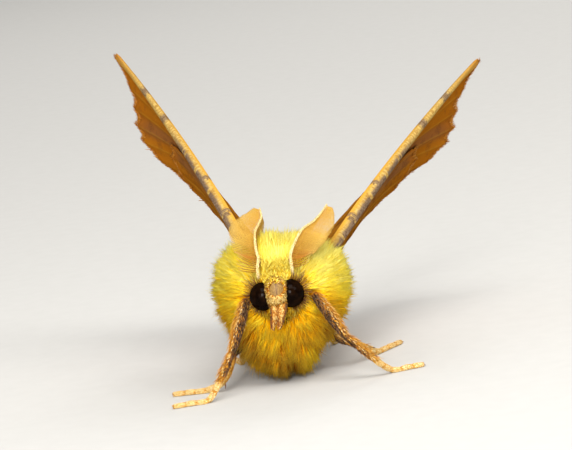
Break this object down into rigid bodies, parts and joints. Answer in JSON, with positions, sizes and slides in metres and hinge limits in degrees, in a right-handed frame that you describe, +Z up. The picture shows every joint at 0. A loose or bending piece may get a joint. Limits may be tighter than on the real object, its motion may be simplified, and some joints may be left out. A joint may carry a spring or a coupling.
{
  "type": "canary-shouldered thorn moth",
  "caption": "Life-size still model of a canary-shouldered thorn moth at rest, wings raised in a V, with feathery antennae and a yellow furred thorax.",
  "frame": {"origin": "on the floor under the middle of the whole moth's box", "axes": "+Z up from the floor, -Y towards the head, +X towards the moth's left wing"},
  "size_m": [0.021, 0.0207, 0.0172],
  "materials": {
    "canary_fur": "soft",
    "face_scales": "matt",
    "eye_black": "gloss",
    "feeler_ochre": "matt",
    "wing_ochre": "matt",
    "abdomen_ochre": "soft",
    "leg_scales": "matt"
  },
  "bodies": {
    "root": {"thorax": "canary_fur", "head": "face_scales", "palp_left": "face_scales", "palp_right": "face_scales", "eye_left": "eye_black", "eye_right": "eye_black", "antenna_left": "feeler_ochre", "antenna_right": "feeler_ochre", "forewing_left": "wing_ochre", "forewing_right": "wing_ochre", "hindwing_left": "wing_ochre", "hindwing_right": "wing_ochre", "abdomen": "abdomen_ochre", "foreleg_left": "leg_scales", "foreleg_right": "leg_scales", "midleg_left": "leg_scales", "midleg_right": "leg_scales", "hindleg_left": "leg_scales", "hindleg_right": "leg_scales"}
  },
  "joints": []
}
